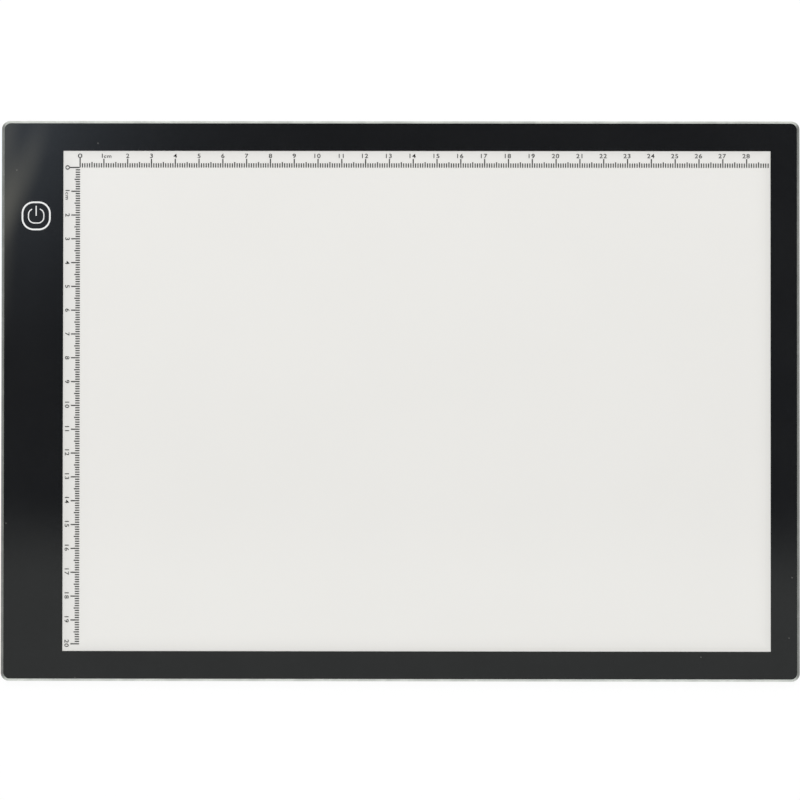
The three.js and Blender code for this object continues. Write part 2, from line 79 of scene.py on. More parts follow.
# Touch key: its ring, and its sign of an open ring and a bar, from the middle of the copper foil below
KEY_MIDDLE = (-0.22, 0.22)
RING_SIZE = (12.2, 12.1)
RING_RADIUS = 5.05
RING_LINE = 0.68
SIGN_SIZE = (6.9, 6.43)
SIGN_RADIUS = 2.7
SIGN_LINE = 0.43
SIGN_OPENING = (-1.84, 1.69)
SIGN_BAR_X = (-0.22, 0.22)
SIGN_BAR_Y = (0.03, 4.24)

# Printed scales, from the zero that they share, with a tick at each millimetre
ZERO_FROM_WINDOW = 7
TOP_SCALE_LENGTH = 289
LEFT_SCALE_LENGTH = 200
TICK_LINE = 0.445
TICK_SHORT = 1.82
TICK_HALF = 2.3
TICK_LONG = 3.65
TICK_ZERO = 4.3
HALF_EVERY = 5
LONG_EVERY = 10

# Figures beside the scales. The shares widen, space and shrink the letters of a plain hand, and the
# weight thickens them. A pair of figures stands a little further back, and so does the 1 before its unit.
FIGURE_HEIGHT = 1.75
FIGURE_WIDTH_SHARE = 1.2
ZERO_WIDTH_SHARE = 1.6
FIGURE_SPACING_SHARE = 1.12
FIGURE_WEIGHT = 0.005
FIGURE_WELD = 0.001
FIGURE_RISE_TOP = 4.05
FIGURE_RISE_LEFT = -6.1
PAIR_BACK = 0.25
UNIT = "cm"
UNIT_FIGURE = "1"
UNIT_SHARE = 0.85
UNIT_START = 0.75
UNIT_BACK_TOP = 0.67
UNIT_BACK_LEFT = 0.3

# Rubber feet
FOOT_EDGE = 0.4

# Small components: where their tinned faces start, along Y from their middles, and the LEDs' glowing faces
CHIP_TIN_START = 2.22
TRANSISTOR_TIN_START = 0.67
CAPACITOR_TIN_START = 0.58
RESISTOR_TIN_START = 0.48
LED_RECESS = 0.2
LED_FACING = 0.5
LED_SLACK = 0.02

# Facets of round corners, edges, line ends and feet
CORNER_STEPS = 20
PANEL_EDGE_STEPS = 5
FOOT_EDGE_STEPS = 6
END_STEPS = 8
FOOT_SIDES = 64


class Graph:
    """A node tree, with short calls that add a node, set its inputs and join them."""

    def __init__(self, tree):
        self.tree = tree
        tree.nodes.clear()

    def add(self, kind, values=None, **settings):
        """A node with its settings, and with its inputs set to values or joined to sockets."""
        made = self.tree.nodes.new(kind)
        for name, value in settings.items():
            setattr(made, name, value)
        for socket, value in (values or {}).items():
            if isinstance(value, bpy.types.NodeSocket):
                self.tree.links.new(value, made.inputs[socket])
            else:
                made.inputs[socket].default_value = value
        return made

    def math(self, operation, *values, clamp=False):
        made = self.add("ShaderNodeMath", dict(enumerate(values)), operation=operation, use_clamp=clamp)
        return made.outputs[0]

    def distance(self, first, second):
        """How far apart two places are that lie so far from each other along two axes."""
        squares = [self.math("MULTIPLY", away, away) for away in (first, second)]
        return self.math("SQRT", self.math("ADD", *squares))

    def ramp(self, value, start, end, low=0.0, high=1.0):
        """low where value is at start, high where it is at end, and smooth between them."""
        values = {"Value": value, "From Min": start, "From Max": end, "To Min": low, "To Max": high}
        return self.add("ShaderNodeMapRange", values, interpolation_type="SMOOTHSTEP").outputs["Result"]

    def places(self, stretch=(1, 1, 1)):
        """Places on the object in metres, stretched along the axes."""
        source = self.add("ShaderNodeTexCoord").outputs["Object"]
        return self.add("ShaderNodeMapping", {"Vector": source, "Scale": stretch}).outputs[0]

    def noise(self, size, stretch=(1, 1, 1)):
        """Noise whose blotches are about so many millimetres across."""
        values = {"Vector": self.places(stretch), "Scale": 1 / (size * MM), "Detail": NOISE_DETAIL}
        return self.add("ShaderNodeTexNoise", values).outputs["Fac"]

    def bump(self, size, depth, stretch=(1, 1, 1)):
        """A fine grain of a size and depth in millimetres."""
        values = {"Height": self.noise(size, stretch), "Distance": depth * MM}
        return self.add("ShaderNodeBump", values).outputs[0]

    def tint(self, share, first, second):
        """The first colour where share is 0 and the second where it is 1. Either may be a socket."""
        made = self.add("ShaderNodeMix", data_type="RGBA")
        factor = next(s for s in made.inputs if s.type == "VALUE" and s.enabled)
        colours = [s for s in made.inputs if s.type == "RGBA"]
        self.tree.links.new(share, factor)
        for socket, colour in zip(colours, (first, second)):
            if isinstance(colour, bpy.types.NodeSocket):
                self.tree.links.new(colour, socket)
            else:
                socket.default_value = (*colour, 1)
        return next(s for s in made.outputs if s.type == "RGBA")

    def scaled(self, colour, share):
        values = {0: colour, "Scale": share}
        return self.add("ShaderNodeVectorMath", values, operation="SCALE").outputs[0]

    def seen(self):
        """1 for what the camera sees, itself or in metal and glass, and 0 for what only lights things."""
        path = self.add("ShaderNodeLightPath").outputs
        mirrored = self.math("MAXIMUM", path["Is Glossy Ray"], path["Is Transmission Ray"])
        return self.math("MAXIMUM", path["Is Camera Ray"], mirrored)

    def finish(self, shader, kind="ShaderNodeOutputMaterial"):
        self.tree.links.new(shader.outputs[0], self.add(kind).inputs["Surface"])

    def finish_principled(self, values):
        self.finish(self.add("ShaderNodeBsdfPrincipled", values))


# Noise of the surfaces, and the levels of it between which a colour or a roughness changes
NOISE_DETAIL = 3
COLOUR_ENDS = (0.35, 0.65)
ROUGH_ENDS = (0.3, 0.7)

# Clear acrylic. What lies against it, the print, the inks and the film, shows its polish as a clear coat.
POLISH = 0.02
POLISHED = {"Specular IOR Level": 0.0, "Coat Weight": 1.0, "Coat Roughness": POLISH, "Coat IOR": 1.5}

# Edge of the panel: sawn and matt, with painted light on the long sides and painted shade on the short ones,
# and brighter inside, a painted light for what the clear edge lets through
OUTER_PAINTED_LIGHT_AND_SHADE = ((0.72, 0.74, 0.70), (0.14, 0.145, 0.135))
INNER_PAINTED_LIGHT_AND_SHADE = ((0.64, 0.66, 0.62), (0.30, 0.31, 0.29))
EDGE_TURN = 2
EDGE_GRAIN = 0.25
EDGE_GRAIN_DEPTH = 0.01
EDGE_LINES = (1, 1, 0.05)
EDGE_ROUGH = (0.15, 0.3)
EDGE_BLOTCH = 6
EDGE_SHADES = (0.92, 1.06)

# Black print under the panel, with a little dust
PRINT_COLOURS = ((0.0055, 0.0058, 0.0066), (0.0068, 0.0071, 0.0078))
PRINT_BLOTCH = 25
PRINT_ROUGH = (0.4, 0.5)
DUST_COLOUR = (0.11, 0.11, 0.10)
DUST_SPREAD = 38
DUST_REACHES = (0.32, 0.18)

# Diffuser: white film, with painted shade that makes it a little darker beside the print, where less of its
# scattered light comes back
FILM_COLOURS = ((0.884, 0.870, 0.837), (0.890, 0.876, 0.843))
FILM_BLOTCH = 60
FILM_GRAIN = 0.4
FILM_GRAIN_DEPTH = 0.004
FILM_ROUGH = 0.55
PAINTED_SHADE_DEPTH = 0.11
PAINTED_SHADE_REACHES = ((16, 9), (9, 9))
PAINTED_SHADE_POWER = 3

# Other surfaces: two near colours, how far across their blotches are, and a range of roughness. Some have
# a grain of a size and depth, a stretch along the axes for lines, or fixed values of the shader.
LINES = (0.2, 1, 1)
CLEAR = {"Transmission Weight": 1.0, "IOR": 1.49}
METAL = {"Metallic": 1.0}
SOFT = {"Subsurface Weight": 0.4, "Subsurface Scale": MM}
SURFACES = {
    "white_ink": dict(
        colours=((0.90, 0.90, 0.89), (0.94, 0.94, 0.93)), blotch=2, rough=(0.5, 0.6), fixed=POLISHED),
    "scale_ink": dict(
        colours=((0.028, 0.028, 0.026), (0.04, 0.04, 0.038)), blotch=2, rough=(0.5, 0.6), fixed=POLISHED),
    "light_guide": dict(
        colours=((0.90, 0.93, 0.93), (0.94, 0.96, 0.96)), blotch=20, rough=(0.05, 0.1), fixed=CLEAR),
    "reflector": dict(
        colours=((0.86, 0.86, 0.85), (0.90, 0.90, 0.89)), blotch=30, rough=(0.25, 0.35)),
    "white_plastic": dict(
        colours=((0.78, 0.78, 0.77), (0.80, 0.80, 0.79)), blotch=20, rough=(0.4, 0.5), grain=(0.3, 0.012)),
    "white_board": dict(
        colours=((0.78, 0.78, 0.74), (0.84, 0.84, 0.80)), blotch=5, rough=(0.3, 0.4)),
    "phosphor": dict(
        colours=((0.75, 0.62, 0.16), (0.80, 0.68, 0.22)), blotch=1, rough=(0.5, 0.6)),
    "green_board": dict(
        colours=((0.010, 0.085, 0.038), (0.016, 0.12, 0.055)), blotch=3, rough=(0.25, 0.4),
        grain=(0.5, 0.01)),
    "tape": dict(
        colours=((0.78, 0.76, 0.68), (0.84, 0.82, 0.75)), blotch=4, rough=(0.6, 0.75), grain=(0.3, 0.01)),
    "foam": dict(
        colours=((0.020, 0.020, 0.022), (0.045, 0.045, 0.048)), blotch=0.4, rough=(0.9, 1.0),
        grain=(0.3, 0.05)),
    "steel": dict(
        colours=((0.60, 0.61, 0.62), (0.70, 0.71, 0.72)), blotch=0.8, rough=(0.22, 0.36),
        grain=(0.1, 0.002), stretch=LINES, fixed=METAL),
    "tin": dict(
        colours=((0.62, 0.62, 0.62), (0.72, 0.72, 0.71)), blotch=0.4, rough=(0.3, 0.45),
        grain=(0.2, 0.004), fixed=METAL),
    "gold": dict(
        colours=((0.78, 0.56, 0.20), (0.86, 0.64, 0.26)), blotch=0.8, rough=(0.2, 0.32),
        grain=(0.1, 0.002), stretch=LINES, fixed=METAL),
    "copper": dict(
        colours=((0.72, 0.36, 0.20), (0.80, 0.43, 0.26)), blotch=2, rough=(0.25, 0.4),
        grain=(0.2, 0.004), fixed=METAL),
    "resin": dict(
        colours=((0.010, 0.010, 0.011), (0.018, 0.018, 0.019)), blotch=1, rough=(0.45, 0.6),
        grain=(0.1, 0.006)),
    "ceramic": dict(
        colours=((0.34, 0.21, 0.11), (0.42, 0.27, 0.15)), blotch=0.6, rough=(0.4, 0.55), grain=(0.1, 0.003)),
    "red_sleeve": dict(
        colours=((0.42, 0.018, 0.012), (0.50, 0.026, 0.018)), blotch=2, rough=(0.35, 0.5),
        grain=(0.3, 0.004)),
    "black_sleeve": dict(
        colours=((0.010, 0.010, 0.010), (0.018, 0.018, 0.018)), blotch=2, rough=(0.35, 0.5),
        grain=(0.3, 0.004)),
    "rubber": dict(
        colours=((0.30, 0.31, 0.30), (0.36, 0.37, 0.36)), blotch=2, rough=(0.45, 0.6),
        grain=(0.2, 0.008), fixed=SOFT),
}


def new_material(name):
    material = bpy.data.materials.new(name)
    material.use_nodes = True
    return material, Graph(material.node_tree)


def surface(name, colours, blotch, rough, grain=None, stretch=(1, 1, 1), fixed=None):
    material, graph = new_material(name)
    blotches = graph.noise(blotch, stretch)
    values = {
        "Base Color": graph.tint(graph.ramp(blotches, *COLOUR_ENDS), *colours),
        "Roughness": graph.ramp(blotches, *ROUGH_ENDS, *rough),
    }
    if grain:
        values["Normal"] = graph.bump(*grain, stretch)
    graph.finish_principled({**values, **(fixed or {})})
    return material


def clear_acrylic(name):
    material, graph = new_material(name)
    graph.finish_principled({"Roughness": POLISH, "Alpha": 0.0})
    return material


def sawn_edge(name, painted_inner_light):
    """The edge, or the rim of the underside, which has one side. Both have painted light on the long sides
    and painted shade on the short ones; the edge also has painted light from inside the panel.
    """
    material, graph = new_material(name)
    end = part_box("front_panel")[1].x
    along = graph.math("ABSOLUTE", graph.add("ShaderNodeSeparateXYZ", {0: graph.places()}).outputs[0])
    # Painted light and shade: lighter on the long sides, painted shade on the short ones, blended over
    # EDGE_TURN
    painted_shade_share = graph.ramp(along, end - EDGE_TURN * MM, end)
    colour = graph.tint(painted_shade_share, *OUTER_PAINTED_LIGHT_AND_SHADE)
    # Painted light: seen from inside the panel, the edge is brighter, for the light that clear acrylic lets
    # through
    if painted_inner_light:
        inside = graph.add("ShaderNodeNewGeometry").outputs["Backfacing"]
        colour = graph.tint(inside, colour, graph.tint(painted_shade_share, *INNER_PAINTED_LIGHT_AND_SHADE))
    blotches = graph.noise(EDGE_BLOTCH, EDGE_LINES)
    graph.finish_principled({
        "Base Color": graph.scaled(colour, graph.ramp(blotches, *COLOUR_ENDS, *EDGE_SHADES)),
        "Roughness": graph.ramp(blotches, *ROUGH_ENDS, *EDGE_ROUGH),
        "Normal": graph.bump(EDGE_GRAIN, EDGE_GRAIN_DEPTH, EDGE_LINES),
    })
    return material


def black_print():
    material, graph = new_material("black_print")
    blotches = graph.noise(PRINT_BLOTCH)
    cells = {"Vector": graph.places(), "Scale": 1 / (DUST_SPREAD * MM)}
    distance = graph.add("ShaderNodeTexVoronoi", cells, voronoi_dimensions="2D").outputs["Distance"]
    dust = graph.ramp(distance, *(reach / DUST_SPREAD for reach in DUST_REACHES))
    ink = graph.tint(graph.ramp(blotches, *COLOUR_ENDS), *PRINT_COLOURS)
    graph.finish_principled({
        "Base Color": graph.tint(dust, ink, DUST_COLOUR),
        "Roughness": graph.ramp(blotches, *ROUGH_ENDS, *PRINT_ROUGH),
        **POLISHED,
    })
    return material


def window_sides():
    """The innermost edges of the print, low and high along X and along Y."""
    low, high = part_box("mask_print")
    middle = (low + high) / 2
    places = [v.co for v in nodes["mask_print"].data.vertices]
    sides = []
    for axis in (0, 1):
        below = max(p[axis] for p in places if p[axis] < middle[axis])
        above = min(p[axis] for p in places if p[axis] > middle[axis])
        sides.append((below, above))
    return sides


def diffuser():
    material, graph = new_material("diffuser")
    place = graph.add("ShaderNodeSeparateXYZ", {0: graph.places()}).outputs
    near = 1
    for axis, (sides, reaches) in enumerate(zip(window_sides(), PAINTED_SHADE_REACHES)):
        for side, reach in zip(sides, reaches):
            distance = graph.math("ABSOLUTE", graph.math("SUBTRACT", place[axis], side))
            near = graph.math("MINIMUM", graph.math("DIVIDE", distance, reach * MM), near)
    # Painted shade: the film's colour darkens towards the edges of the print
    beside = graph.math("SUBTRACT", 1, near)
    painted_shade = graph.math("MULTIPLY_ADD", graph.math("POWER", beside, PAINTED_SHADE_POWER), -PAINTED_SHADE_DEPTH, 1)
    film = graph.tint(graph.ramp(graph.noise(FILM_BLOTCH), *COLOUR_ENDS), *FILM_COLOURS)
    graph.finish_principled({
        "Base Color": graph.scaled(film, painted_shade),
        "Roughness": FILM_ROUGH,
        "Normal": graph.bump(FILM_GRAIN, FILM_GRAIN_DEPTH),
        **POLISHED,
    })
    return material


materials = {
    "acrylic_face": clear_acrylic("acrylic_face"),
    "acrylic_edge": sawn_edge("acrylic_edge", True),
    "acrylic_rim": sawn_edge("acrylic_rim", False),
    "black_print": black_print(),
    "diffuser": diffuser(),
    **{name: surface(name, **look) for name, look in SURFACES.items()},
}


def paint(names, *looks, pick=None):
    """Gives CAD nodes their materials. pick tells which one a face takes, by its middle from the node's."""
    for name in names:
        mesh = nodes[name].data
        mesh.materials.clear()
        for look in looks:
            mesh.materials.append(materials[look])
        if pick:
            low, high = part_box(name)
            middle = (low + high) / 2
            for face in mesh.polygons:
                face.material_index = int(pick(face.center - middle, face.normal))


def tinned_from(start):
    """Faces that lie further than start from a component's middle along Y are tinned."""
    return lambda place, normal: abs(place.y) > start * MM


def recessed(name, depth):
    """Faces that look towards +X from a recess that is so deep in a node's front are the glowing ones."""
    low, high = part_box(name)
    level = (high.x - low.x) / 2 - depth * MM
    return lambda place, normal: normal.x > LED_FACING and abs(place.x - level) < LED_SLACK * MM


def nodes_named(start):
    return sorted(name for name in nodes if name.startswith(start))


def paint_nodes():
    paint(["mask_print"], "black_print")
    paint(["diffuser_sheet"], "diffuser")
    paint(["reflector_sheet"], "reflector")
    paint(["light_guide"], "light_guide")
    paint(["middle_frame", "back_cover"], "white_plastic")
    paint(["cushion_upper", "cushion_lower", "contact_foam"], "foam")
    paint(["light_seal", "board_tape", *nodes_named("bar_tape")], "tape")
    paint([*nodes_named("front_tape"), *nodes_named("back_tape")], "tape")
    paint(["led_bar"], "white_board", "phosphor", pick=recessed("led_bar", LED_RECESS))
    paint(["control_board"], "green_board")
    paint(["usb_shell"], "steel")
    paint(["usb_insulator"], "resin")
    paint(nodes_named("usb_contact"), "gold")
    paint(["touch_electrode"], "copper")
    paint(["touch_chip"], "resin", "tin", pick=tinned_from(CHIP_TIN_START))
    paint(["led_transistor"], "resin", "tin", pick=tinned_from(TRANSISTOR_TIN_START))
    paint(nodes_named("capacitor"), "ceramic", "tin", pick=tinned_from(CAPACITOR_TIN_START))
    paint(nodes_named("resistor"), "resin", "tin", pick=tinned_from(RESISTOR_TIN_START))
    paint(["lead_red"], "red_sleeve")
    paint(["lead_black"], "black_sleeve")


def new_piece(name, maker, looks, replaced=()):
    """An object from a bmesh, riding on the pad."""
    mesh = bpy.data.meshes.new(name)
    maker.normal_update()
    maker.to_mesh(mesh)
    maker.free()
    for look in looks:
        mesh.materials.append(materials[look])
    piece = bpy.data.objects.new(name, mesh)
    bpy.context.scene.collection.objects.link(piece)
    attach(piece, BODY)
    if replaced:
        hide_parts(*replaced)
    return piece


def rectangle(x, y):
    """Corners of a rectangle between two values on each axis, anticlockwise."""
    return [(x[0], y[0]), (x[1], y[0]), (x[1], y[1]), (x[0], y[1])]


def circle(middle, radius, sides):
    """Points round a middle, anticlockwise."""
    turns = [2 * math.pi * side / sides for side in range(sides)]
    return [(middle.x + radius * math.cos(turn), middle.y + radius * math.sin(turn)) for turn in turns]


def rounded_loop(middle, size, radius):
    """A rectangle with round corners, anticlockwise from its right side's upper end, as points in X and Y."""
    half = (size[0] / 2 - radius, size[1] / 2 - radius)
    points = []
    for corner, (side_x, side_y) in enumerate(((1, 1), (-1, 1), (-1, -1), (1, -1))):
        for step in range(CORNER_STEPS + 1):
            turn = (corner + step / CORNER_STEPS) * math.pi / 2
            x = middle[0] + side_x * half[0] + radius * math.cos(turn)
            y = middle[1] + side_y * half[1] + radius * math.sin(turn)
            points.append((x, y))
    return points


def shrunk(size, inset):
    return size[0] - 2 * inset, size[1] - 2 * inset


def in_metres(points, middle):
    """Points in millimetres, as places in metres round a middle."""
    return [(middle.x + x * MM, middle.y + y * MM) for x, y in points]


def round_edge(radius, steps):
    """Inset and rise of the rings of a rounded lower edge, from the underside up."""
    turns = [math.pi / 2 * step / steps for step in range(steps + 1)]
    return [(radius * (1 - math.sin(turn)), radius * (1 - math.cos(turn))) for turn in turns]


def add_ring(maker, points, level):
    return [maker.verts.new((x, y, level)) for x, y in points]


def add_wall(maker, lower, upper, look=0, smooth=False):
    """Faces between two rings of as many corners, the lower one first, pointing outwards."""
    count = len(lower)
    for i in range(count):
        j = (i + 1) % count
        face = maker.faces.new((lower[i], lower[j], upper[j], upper[i]))
        face.material_index = look
        face.smooth = smooth


def add_prism(maker, points, low, high):
    """An upright prism on an anticlockwise outline."""
    lower = add_ring(maker, points, low)
    upper = add_ring(maker, points, high)
    add_wall(maker, lower, upper)
    maker.faces.new(upper)
    maker.faces.new(lower[::-1])


def make_panel():
    """The clear panel. It casts no shadow on what lies against it, and nothing mirrors it."""
    low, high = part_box("front_panel")
    middle = (low + high) / 2
    maker = bmesh.new()

    def panel_ring(inset, level):
        loop = rounded_loop(middle, shrunk(high - low, inset), PANEL_RADIUS * MM - inset)
        return add_ring(maker, loop, level)

    edge = round_edge(PANEL_EDGE * MM, PANEL_EDGE_STEPS)
    rings = [panel_ring(inset, low.z + rise) for inset, rise in edge]
    rings += [panel_ring(inset, high.z - rise) for inset, rise in edge[::-1]]
    for lower, upper in zip(rings, rings[1:]):
        add_wall(maker, lower, upper, look=1, smooth=True)
    maker.faces.new(rings[-1])
    # The underside's outer strip takes the edge's colours: painted light on the long sides and painted shade
    # on the short ones, where the clear rim would show what lies below
    rim = panel_ring(CLEAR_RIM * MM, low.z)
    add_wall(maker, rim, rings[0], look=2)
    maker.faces.new(rim[::-1])
    looks = ["acrylic_face", "acrylic_edge", "acrylic_rim"]
    panel = new_piece("clear_panel", maker, looks, ["front_panel"])
    panel.visible_shadow = False
    panel.visible_glossy = False


def ink_levels():
    """The levels that the ink lies between, just under the panel."""
    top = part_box("front_panel")[0].z - INK_GAP * MM
    return top - INK_THICKNESS * MM, top


def make_key_ring(middle, low, high):
    outer = in_metres(rounded_loop((0, 0), RING_SIZE, RING_RADIUS), middle)
    inner = in_metres(rounded_loop((0, 0), shrunk(RING_SIZE, RING_LINE), RING_RADIUS - RING_LINE), middle)
    maker = bmesh.new()
    rounds = ((outer, low), (outer, high), (inner, high), (inner, low))
    rings = [add_ring(maker, points, level) for points, level in rounds]
    for lower, upper in zip(rings, rings[1:] + rings[:1]):
        add_wall(maker, lower, upper)
    new_piece("key_ring", maker, ["white_ink"])


def open_line(path, line):
    """The outline of an even line along an open path, with round ends, anticlockwise."""
    left = []
    right = []
    for i, point in enumerate(path):
        along = (path[min(i + 1, len(path) - 1)] - path[max(i - 1, 0)]).normalized()
        across = Vector((along.y, -along.x)) * line / 2
        right.append(point + across)
        left.append(point - across)

    def end_cap(end, start):
        turns = [math.pi * step / END_STEPS for step in range(1, END_STEPS)]
        return [end + Matrix.Rotation(turn, 2) @ (start - end) for turn in turns]

    outline = right + end_cap(path[-1], right[-1]) + left[::-1] + end_cap(path[0], left[0])
    return [tuple(point) for point in outline]


def make_key_sign(middle, low, high):
    """The usual sign for on and off: a ring that is open at its top, and a bar in the opening."""
    loop = rounded_loop((0, 0), shrunk(SIGN_SIZE, SIGN_LINE / 2), SIGN_RADIUS - SIGN_LINE / 2)
    kept = [Vector(p) for p in loop if p[1] < 0 or not SIGN_OPENING[0] < p[0] < SIGN_OPENING[1]]
    first = next(i for i, p in enumerate(kept) if p.x < 0)
    path = kept[first:] + kept[:first]
    maker = bmesh.new()
    add_prism(maker, in_metres(open_line(path, SIGN_LINE), middle), low, high)
    add_prism(maker, in_metres(rectangle(SIGN_BAR_X, SIGN_BAR_Y), middle), low, high)
    new_piece("key_sign", maker, ["white_ink"])


def make_key():
    low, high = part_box("touch_electrode")
    middle = (low + high) / 2 + Vector((*KEY_MIDDLE, 0)) * MM
    make_key_ring(middle, *ink_levels())
    make_key_sign(middle, *ink_levels())


def scale_zero():
    """The zero of both scales: in from the upper left corner of the window that the print leaves open."""
    across, upwards = window_sides()
    return Vector((across[0] + ZERO_FROM_WINDOW * MM, upwards[1] - ZERO_FROM_WINDOW * MM))


def tick_length(number):
    if number == 0:
        return TICK_ZERO
    if number % LONG_EVERY == 0:
        return TICK_LONG
    if number % HALF_EVERY == 0:
        return TICK_HALF
    return TICK_SHORT


def make_ticks(name, length, down):
    """Ticks above a scale that runs right from the zero, or to the left of one that runs down from it."""
    zero = scale_zero()
    levels = ink_levels()
    half = TICK_LINE / 2
    maker = bmesh.new()
    for number in range(length + 1):
        start = half if down and number == 0 else 0
        corners = rectangle((number - half, number + half), (start, tick_length(number)))
        if down:
            corners = [(-y, -x) for x, y in corners[::-1]]
        add_prism(maker, in_metres(corners, zero), *levels)
    new_piece(name, maker, ["scale_ink"])


figures = {}


def figure_mesh(text):
    """A text in a plain hand, thin and closed, from its left end and baseline."""
    if text in figures:
        return figures[text]
    curve = bpy.data.curves.new("figure", "FONT")
    curve.body = text
    curve.extrude = 1
    curve.offset = FIGURE_WEIGHT
    curve.space_character = FIGURE_SPACING_SHARE
    writing = bpy.data.objects.new("figure", curve)
    bpy.context.scene.collection.objects.link(writing)
    graph = bpy.context.evaluated_depsgraph_get()
    mesh = bpy.data.meshes.new_from_object(writing.evaluated_get(graph))
    bpy.data.objects.remove(writing)
    bpy.data.curves.remove(curve)
    figures[text] = mesh
    return mesh


def extent(mesh, axis):
    places = [v.co[axis] for v in mesh.vertices]
    return min(places), max(places)


def add_figures(maker, text, place, turn, rise, height, start=None):
    """Adds a text above a place, centred across it or from a start, turned about the place."""
    share = ZERO_WIDTH_SHARE if text == "0" else FIGURE_WIDTH_SHARE
    tall = extent(figure_mesh(UNIT_FIGURE), 1)
    scale = height * MM / (tall[1] - tall[0])
    mesh = figure_mesh(text).copy()
    wide = [x * scale * share for x in extent(mesh, 0)]
    shift = -(wide[0] + wide[1]) / 2 if start is None else start * MM - wide[0]
    low, high = ink_levels()
    flat = Matrix.Diagonal((scale * share, scale, (high - low) / 2, 1))
    upright = Matrix.Translation((shift, rise * MM, (low + high) / 2)) @ flat
    mesh.transform(Matrix.Translation((place.x, place.y, 0)) @ Matrix.Rotation(turn, 4, "Z") @ upright)
    maker.from_mesh(mesh)
    bpy.data.meshes.remove(mesh)


def figure_back(text, unit_back):
    """How far a text stands back from its tick."""
    if text == UNIT_FIGURE:
        return unit_back
    return PAIR_BACK if len(text) > 1 else 0


def make_figures(name, length, direction, turn, rise, unit_back):
    """Centimetre figures along a scale, and the unit's short name after the 1."""
    zero = scale_zero()
    maker = bmesh.new()
    for number in range(length // LONG_EVERY + 1):
        text = str(number)
        along = number * LONG_EVERY - figure_back(text, unit_back)
        place = zero + direction * (along * MM)
        add_figures(maker, text, place, turn, rise, FIGURE_HEIGHT)
        if text == UNIT_FIGURE:
            add_figures(maker, UNIT, place, turn, rise, FIGURE_HEIGHT * UNIT_SHARE, UNIT_START)
    bmesh.ops.remove_doubles(maker, verts=maker.verts, dist=FIGURE_WELD * MM)
    new_piece(name, maker, ["scale_ink"])


def make_scales():
    right, down = Vector((1, 0)), Vector((0, -1))
    make_ticks("scale_top", TOP_SCALE_LENGTH, False)
    make_ticks("scale_left", LEFT_SCALE_LENGTH, True)
    make_figures("figures_top", TOP_SCALE_LENGTH, right, 0, FIGURE_RISE_TOP, UNIT_BACK_TOP)
    make_figures("figures_left", LEFT_SCALE_LENGTH, down, -math.pi / 2, FIGURE_RISE_LEFT, UNIT_BACK_LEFT)


def make_foot(node):
    """A foot turned about its axis: flat below, with a round lower edge, and smooth all round."""
    low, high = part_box(node)
    middle = (low + high) / 2
    radius = (high.x - low.x) / 2
    maker = bmesh.new()
    profile = [(inset, low.z + rise) for inset, rise in round_edge(FOOT_EDGE * MM, FOOT_EDGE_STEPS)]
    profile.append((0, high.z))
    rings = [add_ring(maker, circle(middle, radius - inset, FOOT_SIDES), level) for inset, level in profile]
    for lower, upper in zip(rings, rings[1:]):
        add_wall(maker, lower, upper, smooth=True)
    maker.faces.new(rings[-1])
    maker.faces.new(rings[0][::-1])
    new_piece(node.replace("foot", "rubber_foot"), maker, ["rubber"], [node])


# Room: white where it is seen, and pale where it only lights the pad, brighter beyond its long sides than
# beyond its short ones. Straight above the pad is a dim ceiling, which the panel reflects: a grey wall on
# the near side, and a bluish glow and two warm patches on the left.
# Places on the ceiling are tangents, along X and up along Y.
LONG_SIDE_LIGHT = 0.95
SHORT_SIDE_LIGHT = 0.55
LOWEST_HEIGHT = 0.02
CEILING_ENDS = (0.27, 0.6)
CEILING_TINT = (0.95, 1.0, 1.06)
CEILING_LIGHT = 0.14
SIDE_REACH = 0.21
SIDE_POWER = 4
SIDE_LIGHT = 0.03
WALL_TINT = (0.97, 1.0, 0.94)
WALL_LIGHT = 0.5
WALL_SLOPE = 0.018
WALL_ENDS = (-0.041, -0.095)
GLOW_TINT = (0.85, 1.0, 1.19)
GLOW_LIGHT = 1.94
GLOW_START = 0.087
GLOW_REACH = 0.283
GLOW_POWER = 5.7
GLOW_ENDS = (0.016, 0.35)
PATCH_TINT = (1.04, 1.0, 0.82)
PATCHES = (
    {"middle": (-0.207, 0.118), "reach": (0.012, 0.049), "lean": 0.38, "light": 1.0},
    {"middle": (-0.2155, 0.119), "reach": (0.0135, 0.12), "lean": 0.05, "light": 0.92},
)


def grey(level):
    return (level, level, level)


def patch_light(graph, along, up, middle, reach, lean, light):
    """The light of an upright oval patch that leans aside, brightest in its middle."""
    rise = graph.math("SUBTRACT", up, middle[1])
    leaning = graph.math("MULTIPLY_ADD", rise, lean, middle[0])
    aside = graph.math("SUBTRACT", along, leaning)
    shares = [graph.math("DIVIDE", away, far) for away, far in zip((aside, rise), reach)]
    return graph.ramp(graph.distance(*shares), 1, 0, 0, light)


def ceiling_parts(graph, along, up):
    """The tint and light of the ceiling, wall, glow and patches at a place."""
    aside = graph.math("DIVIDE", graph.math("ABSOLUTE", along), SIDE_REACH, clamp=True)
    ceiling = graph.math("MULTIPLY_ADD", graph.math("POWER", aside, SIDE_POWER), SIDE_LIGHT, CEILING_LIGHT)
    wall = graph.ramp(graph.math("MULTIPLY_ADD", along, WALL_SLOPE, up), *WALL_ENDS, 0, WALL_LIGHT)
    leftward = graph.math("DIVIDE", graph.math("SUBTRACT", GLOW_START, along), GLOW_REACH, clamp=True)
    upward = graph.ramp(up, *GLOW_ENDS, 0, GLOW_LIGHT)
    glow = graph.math("MULTIPLY", graph.math("POWER", leftward, GLOW_POWER), upward)
    patches = [(PATCH_TINT, patch_light(graph, along, up, **patch)) for patch in PATCHES]
    return [(CEILING_TINT, ceiling), (WALL_TINT, wall), (GLOW_TINT, glow), *patches]


